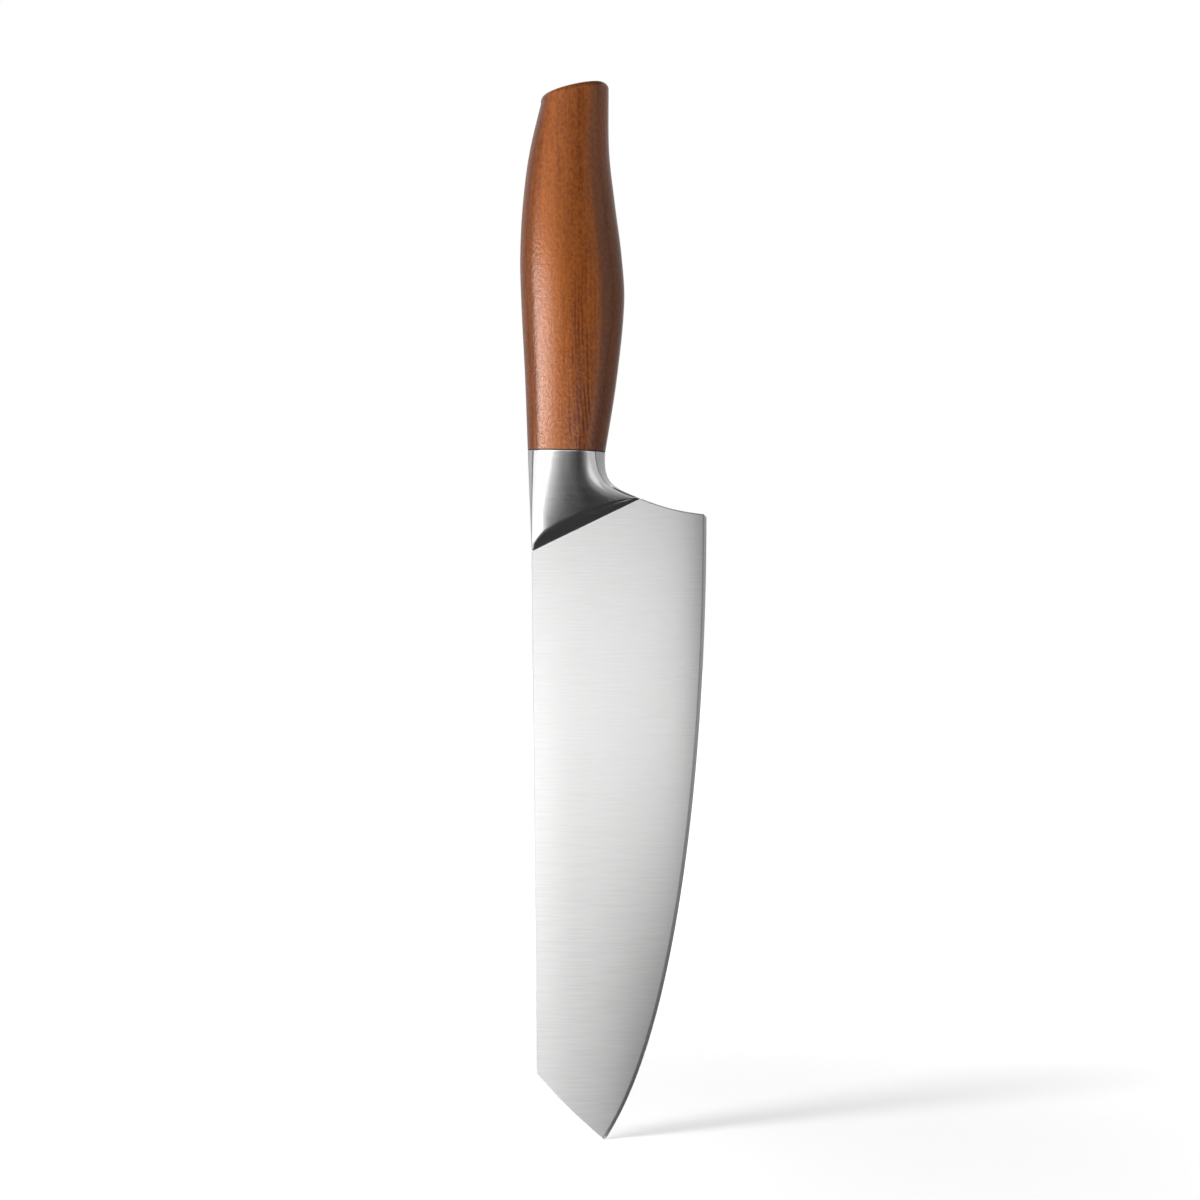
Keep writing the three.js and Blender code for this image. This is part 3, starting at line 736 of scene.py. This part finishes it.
def blended(nodes, share, first, second):
    """A colour between two."""
    settings = {"data_type": "RGBA", "clamp_factor": True}
    ends = {6: first, 7: second}
    ends = {k: v if isinstance(v, Wire) else (*v, 1) for k, v in ends.items()}
    return nodes.add("ShaderNodeMix", settings, {0: share, **ends}, out=2)


def grey(nodes, level):
    return nodes.add("ShaderNodeCombineColor", {}, {0: level, 1: level, 2: level})


def surface(nodes, kind, sockets):
    """The shader of a material, and its output."""
    shader = nodes.add(kind, {}, sockets)
    nodes.add("ShaderNodeOutputMaterial", {}, {"Surface": shader})


def brushed_steel(name, dark, light, roughness, spread, depth, stretch, crown):
    """Steel with fine lines drawn across it from the spine to the edge.

    The lines stretch what the steel mirrors up and down. A painted dark line, painted shade for the
    crease, runs where a bevel begins. With a crown, the polish rolls off towards the spine, most of all
    near the point.
    """
    material, nodes, place = new_finish(name)
    fine = grain(nodes, place, (90, 90, 4200), detail=2).between(0.25, 0.75)
    broad = grain(nodes, place, (30, 30, 1500), detail=3, shift=(3, 1, 7))
    cloud = grain(nodes, place, (40, 40, 40), detail=2, shift=(9, 5, 2))
    lines = fine * 0.6 + broad * 0.4
    colour = blended(nodes, lines * 0.8 + cloud * 0.2, dark, light)
    # Painted shade: a dark line where the bevel begins stands in for the shade in that crease
    from_line = abs(carried(nodes, "from_edge") - BEVEL_LINE)
    painted_crease_shade = 1 - (from_line / BEVEL_LINE_HALF).least(1)
    colour = blended(nodes, painted_crease_shade * BEVEL_CREASE_SHADE_STRENGTH, colour, BEVEL_CREASE_SHADE_COLOUR)
    rough = roughness + (lines - 0.5) * spread + (cloud - 0.5) * spread * 0.3
    near_spine = ((POLISH_START - place.part(0)) / POLISH_REACH).most(0)
    fall = -near_spine * near_spine * (1 - POLISH_LOSS * place.part(2).between(*POLISH_FADE))
    rolled = nodes.add("ShaderNodeBump", {}, {"Height": fall, "Distance": crown, "Strength": 1.0})
    brushed = nodes.add("ShaderNodeBump", {}, {
        "Height": lines,
        "Distance": depth,
        "Strength": LINES_STRENGTH,
        "Normal": rolled,
    })
    surface(nodes, "ShaderNodeBsdfPrincipled", {
        "Base Color": colour,
        "Roughness": rough,
        "Metallic": 1.0,
        "Anisotropic": stretch,
        "Anisotropic Rotation": LINES_TURN,
        "Normal": brushed,
    })
    return material


def lacquered_wood():
    """Reddish brown wood with straight lengthwise grain under a glossy lacquer.

    Its rings lie round a pith beside the handle, so broad light and dark bands run down it, and fine
    wavy lines show close to the bolster. Painted shade darkens it along the back, on the flank above
    the belly, towards the belly side and at the butt. Pores and fibres roughen the lacquer.
    """
    material, nodes, place = new_finish("handle_wood")
    height = place.part(2)
    across = carried(nodes, "across")

    sway = grain(nodes, place, (45, 45, 9), detail=2)
    ripple = grain(nodes, place, (170, 170, 60), detail=2, shift=(5, 1, 9))
    x, y = place.part(0) - PITH[0], place.part(1) - PITH[1]
    radius = (x * x + y * y) ** 0.5 + (sway - 0.5) * PITH_SWAY
    heart = (radius * (2 * math.pi / BAND_WIDTH) + BAND_TURN).sine() * 0.5 + 0.5
    wavy = radius + (ripple - 0.5) * RING_RIPPLE
    ring = (wavy * (2 * math.pi / RING_WIDTH)).sine() * 0.5 + 0.5
    figure = grain(nodes, place, (330, 330, 80), detail=2, shift=(2, 6, 1)).between(0.4, 0.62)
    figure = figure * (1 - height.between(*FIGURE_FADE)) * heart.between(0.3, 0.9)
    streak = grain(nodes, place, (420, 420, 7), detail=3, shift=(4, 2, 0)).between(0.42, 0.7)
    fibre = grain(nodes, place, (1700, 1700, 45), detail=3, shift=(1, 8, 3))
    grit = grain(nodes, place, (1250, 1250, 900), detail=2, shift=(7, 3, 5)).between(0.3, 0.7)

    # Painted shade: darker along the back, on the flank above the belly and at the butt
    butt = height.between(*BUTT_FADE)
    back = (-across).between(0.5, 0.96)
    belly = (across + 0.1 * height.between(*BELLY_FADE)).between(0.56, 0.7)
    # Painted shade: darker towards the belly side, less so at the butt, and darker along the back at
    # the butt
    shade = across.between(-0.1, 0.3) * (0.1 - 0.1 * butt)
    shade = shade + butt * (-across).between(-0.3, 0.5) * 0.3
    tone = heart * 0.35 + ring ** 2 * figure * 0.9 + streak * 0.25 + shade
    tone = tone + (fibre - 0.5) * 0.8 + (grit - 0.5) * 0.45
    painted_side_shade = back * 0.82 + belly * (0.55 - 0.3 * butt)
    colour = blended(nodes, painted_side_shade, blended(nodes, tone, WOOD_LIGHT, WOOD_DARK), WOOD_PAINTED_SHADE)
    pores = nodes.add("ShaderNodeBump", {}, {
        "Height": fibre * 0.25 + grit * 0.75,
        "Distance": PORE_DEPTH,
        "Strength": PORE_STRENGTH,
    })
    surface(nodes, "ShaderNodeBsdfPrincipled", {
        "Base Color": colour,
        "Roughness": 0.18 + (fibre - 0.5) * 0.12 + (grit - 0.5) * 0.08,
        "Specular IOR Level": 0.5,
        "Normal": pores,
    })
    return material


def dark_adhesive():
    """Cured adhesive, faintly speckled."""
    material, nodes, place = new_finish("epoxy")
    speckle = grain(nodes, place, (900, 900, 900), detail=2)
    surface(nodes, "ShaderNodeBsdfPrincipled", {
        "Base Color": blended(nodes, speckle, (0.018, 0.012, 0.009), (0.045, 0.03, 0.022)),
        "Roughness": 0.5 + speckle * 0.2,
    })
    return material


def rolled_steel():
    """Steel as it comes from the rolls, with patches of scale."""
    material, nodes, place = new_finish("tang_steel")
    scale = grain(nodes, place, (300, 300, 90), detail=4)
    surface(nodes, "ShaderNodeBsdfPrincipled", {
        "Base Color": blended(nodes, scale, (0.3, 0.3, 0.3), (0.5, 0.5, 0.49)),
        "Roughness": 0.35 + scale * 0.3,
        "Metallic": 1.0,
    })
    return material


blade_steel = brushed_steel(
    "blade_steel",
    dark=(0.765, 0.765, 0.76),
    light=(0.93, 0.93, 0.925),
    roughness=0.34,
    spread=0.09,
    depth=0.000008,
    stretch=0.6,
    crown=0.00034,
)
bolster_steel = brushed_steel(
    "bolster_steel",
    dark=(0.74, 0.74, 0.735),
    light=(0.83, 0.83, 0.825),
    roughness=0.16,
    spread=0.05,
    depth=0.000004,
    stretch=0.0,
    crown=0.0,
)
handle_wood = lacquered_wood()

# Pieces

blade = shaped("blade_ground", blade_blank(), grind_tree(), {
    "Thickness at shoulder": SPINE_THICKNESS * MM,
    "Thickness at point": POINT_THICKNESS * MM,
    "Point height": LAYOUT_ZERO[2] * MM,
    "Shoulder height": (LAYOUT_ZERO[2] + SHOULDER_LOW) * MM,
    "Grind height": GRIND_HEIGHT * MM,
    "Grind power": GRIND_POWER,
    "Edge thickness": EDGE_THICKNESS * MM,
    "Edge land": EDGE_LAND * MM,
    "Middle plane": LAYOUT_ZERO[1] * MM,
    "Finish": blade_steel,
}, crease=3)
bolster = shaped("bolster_polished", bolster_rows(), bolster_tree(), {
    "Oval power": OVAL_POWER,
    "Columns": OVAL_COLUMNS,
    "Joint swell": JOINT_THICKNESS / 2 * MM,
    "Crest swell": (CREST_THICKNESS - SPINE_THICKNESS) / 2 * MM,
    "Cove share": COVE_HEIGHT / BOLSTER_MIDDLE,
    "Cove end share": COVE_END_HEIGHT / BOLSTER_MIDDLE,
    "Cove evenness": COVE_EVENNESS,
    "Cove power": COVE_POWER,
    "Crest round": CREST_ROUND * MM,
    "Finish": bolster_steel,
}, crease=24)
handle = shaped("handle_lacquered", handle_rows(), handle_tree(), {
    "Oval power": OVAL_POWER,
    "Columns": OVAL_COLUMNS,
    "Finish": handle_wood,
}, crease=40)
for piece, node, slot in (
    (blade, "blade", "blade_steel"),
    (bolster, "bolster", "bolster_steel"),
    (handle, "handle", "handle_wood"),
):
    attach(piece, "root")
    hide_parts(node)
for node, material in (("tang", rolled_steel()), ("tang_epoxy", dark_adhesive())):
    node_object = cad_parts[node]
    node_object.data.materials.clear()
    node_object.data.materials.append(material)

# Stage: a white floor in a white room, two soft lamps, and cards that only mirroring surfaces see.
# Mirrors don't see the lamps: the cards stand in for them there, and for what is dark in a studio.
# Lengths are in metres, and a shade or a brightness of 1 is white.

FLOOR = -RACK_HEIGHT * MM
FLOOR_HALF = 4
FLOOR_COLOUR = (0.8, 0.8, 0.8, 1)
FOOT = (0.02, 0, FLOOR)  # where the shadow falls, so the floor glows least there
FOOT_GLOW = 0.44
FOOT_REACH = (0.05, 0.45)
ROOM_LIGHT = 0.3
WHITE = (1, 1, 1, 1)
MIDDLE = Vector((0.0115, LAYOUT_ZERO[1] * MM, 0.06))  # what the lamps face

# Heights of the cards above the floor
LAID = 0.0002
FOOT_LAID = 0.0004
LOW = 0.001
LEDGE = 0.2
SHEEN_TOP = 0.36
HEAD = 0.6
ROOF = 0.8

# Distances of the cards from the knife
SIDE = 0.5
EDGE_SIDE = 0.515
RIGHT = 0.52
FRONT = 0.57
BACK = 0.7


def around(azimuth, elevation, distance):
    """A place round the knife: azimuth 0 is towards the camera, 90 towards the cutting edge."""
    a, e = math.radians(azimuth), math.radians(elevation)
    away = Vector((math.sin(a) * math.cos(e), -math.cos(a) * math.cos(e), math.sin(e)))
    return MIDDLE + away * distance


def softbox(name, azimuth, elevation, distance, width, height, brightness):
    """A lamp that faces the knife and that neither the camera nor a mirror sees."""
    light = bpy.data.lights.new(name, "AREA")
    light.shape = "RECTANGLE"
    light.size, light.size_y = width, height
    light.energy = math.pi * width * height * brightness
    lamp = bpy.data.objects.new(name, light)
    lamp.location = around(azimuth, elevation, distance)
    lamp.rotation_euler = (MIDDLE - lamp.location).to_track_quat("-Z", "Y").to_euler()
    lamp.visible_camera = lamp.visible_glossy = False
    bpy.context.scene.collection.objects.link(lamp)


def card_paper():
    """Paper for the cards, as light as each corner of a card says."""
    material, nodes, _ = new_finish("card_paper")
    shade = grey(nodes, carried(nodes, "shade"))
    surface(nodes, "ShaderNodeEmission", {"Color": shade, "Strength": 1.0})
    return material


def card(name, first, second, first_shades, second_shades):
    """A strip between two borders, with a shade at each of their points, for mirrors alone."""
    mesh = bpy.data.meshes.new(name)
    count = len(first)
    faces = [(i, i + 1, i + 1 + count, i + count) for i in range(count - 1)]
    mesh.from_pydata([*first, *second], [], faces)
    shades = np.array([*first_shades, *second_shades], np.float32)
    mesh.attributes.new("shade", "FLOAT", "POINT").data.foreach_set("value", shades)
    mesh.materials.append(paper)
    sheet = bpy.data.objects.new(name, mesh)
    for ray in ("camera", "diffuse", "shadow", "transmission", "volume_scatter"):
        setattr(sheet, f"visible_{ray}", False)
    bpy.context.scene.collection.objects.link(sheet)


def floor_card(name, near, far, columns, height=LAID):
    """A card that lies on the floor in front of the knife, between two distances.

    Each column is its X at the near end, its X at the far end and its shade.
    """
    z = FLOOR + height
    shades = [shade for _, _, shade in columns]
    first = [(x, -near, z) for x, _, _ in columns]
    second = [(x, -far, z) for _, x, _ in columns]
    card(name, first, second, shades, shades)


def band(name, low, high, shades, fade=1):
    """A card that bends round the knife, with a shade at each azimuth.

    Its two borders are given by their distance from the knife and their height above the floor. The
    shades are those of the first one and fade towards the second.
    """
    borders = []
    for distance, height in (low, high):
        places = [around(azimuth, 0, distance) for azimuth in shades]
        borders.append([(p.x, p.y, FLOOR + height) for p in places])
    first = list(shades.values())
    card(name, *borders, first, [shade * fade for shade in first])


def seen_directly(nodes):
    """1 where the camera looks, straight or by way of a mirror, and 0 where light is gathered."""
    rays = nodes.add("ShaderNodeLightPath", {}, {}).socket.node.outputs
    seen = Wire(nodes, rays["Is Camera Ray"])
    for ray in ("Is Glossy Ray", "Is Transmission Ray"):
        seen = seen.most(Wire(nodes, rays[ray]))
    return seen


def lay_floor():
    """White paper that shows the knife's shadow and goes over into the white behind it."""
    half = FLOOR_HALF
    corners = [(-half, -half, FLOOR), (half, -half, FLOOR), (half, half, FLOOR), (-half, half, FLOOR)]
    mesh = bpy.data.meshes.new("floor")
    mesh.from_pydata(corners, [], [(0, 1, 2, 3)])
    material, nodes, place = new_finish("floor_white")
    away = nodes.add("ShaderNodeVectorMath", {"operation": "DISTANCE"}, {0: place, 1: FOOT}, out=1)
    glow = seen_directly(nodes) * (FOOT_GLOW + (1 - FOOT_GLOW) * away.between(*FOOT_REACH))
    surface(nodes, "ShaderNodeBsdfPrincipled", {
        "Base Color": FLOOR_COLOUR,
        "Roughness": 1.0,
        "Specular IOR Level": 0.0,
        "Emission Color": grey(nodes, glow),
        "Emission Strength": 1.0,
    })
    mesh.materials.append(material)
    floor = bpy.data.objects.new("floor", mesh)
    bpy.context.scene.collection.objects.link(floor)


def light_world():
    """A white room that lights the knife softly."""
    world = bpy.data.worlds.new("studio")
    world.use_nodes = True
    bpy.context.scene.world = world
    nodes = Nodes(world.node_tree)
    soft = nodes.add("ShaderNodeBackground", {}, {"Color": WHITE, "Strength": ROOM_LIGHT})
    white = nodes.add("ShaderNodeBackground", {}, {"Color": WHITE, "Strength": 1.0})
    room = nodes.add("ShaderNodeMixShader", {}, {0: seen_directly(nodes), 1: soft, 2: white})
    nodes.add("ShaderNodeOutputWorld", {}, {"Surface": room})


paper = card_paper()
lay_floor()
light_world()
softbox("left_softbox", azimuth=-63, elevation=8, distance=0.46, width=0.11, height=0.28, brightness=24)
softbox("back_softbox", azimuth=150, elevation=20, distance=0.6, width=0.25, height=0.3, brightness=3)

# Mirrored in the bolster's cove and the blade's bevel, in the point, in the bevel close to the point
# and in the hollow of the bolster
floor_card("cove_card", 0.002, 0.3, [(0.03, 0.03, 0.035), (0.32, 0.45, 0.035)])
floor_card("tip_card", 0.0015, 0.24, [(-0.05, -0.05, 0.97), (0.005, 0.005, 0.48), (0.03, 0.03, 0.22)])
floor_card("foot_card", 0.0015, 0.03, [(0.0135, 0.026, 0.03), (0.031, 0.031, 0.03)], height=FOOT_LAID)
floor_card("bolster_card", 0.25, 0.56, [
    (-0.112, -0.256, 0.8),
    (-0.086, -0.199, 0.64),
    (-0.039, -0.094, 0.37),
    (-0.012, -0.034, 0.22),
    (0.022, 0.044, 0.085),
    (0.081, 0.176, 0.015),
    (0.144, 0.315, 0.1),
    (0.273, 0.606, 0.64),
    (0.438, 0.975, 0.4),
])

# Mirrored in the lacquer and along the left of the bolster, where the left lamp stands
band("sheen_card", (SIDE, LOW), (SIDE, LEDGE), {-84: 1.3, -70: 1.4, -48: 1.4, -36: 1.2}, fade=0.85)
band("wood_card", (SIDE, LEDGE), (SIDE, SHEEN_TOP), {
    -86: 0.02, -76: 1.5, -66: 10.5, -50: 11.5, -38: 8.5, -26: 3.4, -18: 1.1, -10: 0.3, 2: 0.01,
}, fade=0.05)
band("wood_top_card", (SIDE, SHEEN_TOP), (SIDE, HEAD), {
    -86: 0.02, -63: 0.7, -38: 0.7, -18: 0.6, -6: 0.4, 4: 0.03,
}, fade=0.6)

# Mirrored in the front of the blade, and above it in the wood
band("low_screen", (FRONT, LOW), (FRONT, LEDGE), {
    -36: 2.85, -12: 2.0, -2: 1.63, 6: 1.54, 16: 1.75,
}, fade=1.12)
band("high_screen", (FRONT, LEDGE), (FRONT, HEAD), {-30: 0.03, -10: 0.03, 16: 0.03})

# Mirrored towards the cutting edge and the belly
band("right_screen", (RIGHT, LOW), (RIGHT, ROOF), {
    16: 0.06, 23: 0.06, 28: 0.3, 36: 0.4, 52: 0.6, 71: 0.6,
})
band("edge_card", (EDGE_SIDE, LOW), (EDGE_SIDE, 0.19), {30: 0.1, 37: 0.95, 46: 0.95, 52: 0.6})
band("right_line", (SIDE, LOW), (SIDE, ROOF), {72: 0.05, 78: 0.05})

# Mirrored in the spine and the back, and from above
band("right_back_screen", (BACK, LOW), (BACK, ROOF), {
    78: 0.3, 100: 0.3, 125: 0.3, 150: 0.3,
}, fade=2.2)
band("back_screen", (BACK, LOW), (BACK, ROOF), {
    150: 0.4, 165: 0.55, 180: 0.5, 195: 0.3, 210: 0.45,
}, fade=1.2)
band("left_line", (SIDE, LOW), (SIDE, ROOF), {-106: 0.03, -97: 0.03})
band("left_back_screen", (BACK, LOW), (BACK, ROOF), {-150: 0.45, -128: 0.5, -105: 0.5}, fade=1.6)
band("back_floor", (0.04, LOW), (BACK, LOW), {a: 0.3 for a in range(95, 266, 19)}, fade=1.6)
band("left_floor", (0.05, LOW), (0.49, LOW), {
    -95: 0.5, -78: 0.4, -60: 0.4, -42: 0.45, -28: 0.6,
})
band("ceiling_card", (0.01, ROOF), (0.6, ROOF), {a: 0.08 for a in range(0, 361, 30)})

# Camera, level with the middle of the picture and square to the blade
CAMERA_DISTANCE = 0.6
FRAME_HEIGHT = 0.34182  # of what the picture shows at the knife
FRAME_MIDDLE = (0.01147, 0.05868)  # X and Z
SENSOR = 36
lens = bpy.data.cameras.new("camera")
lens.sensor_width = SENSOR
lens.lens = SENSOR * CAMERA_DISTANCE / FRAME_HEIGHT
lens.clip_start, lens.clip_end = 0.01, 50
camera = bpy.data.objects.new("camera", lens)
camera.location = (FRAME_MIDDLE[0], LAYOUT_ZERO[1] * MM - CAMERA_DISTANCE, FRAME_MIDDLE[1])
camera.rotation_euler = (math.radians(90), 0, 0)
bpy.context.scene.collection.objects.link(camera)
bpy.context.scene.camera = camera
bpy.context.scene.view_settings.view_transform = "Standard"
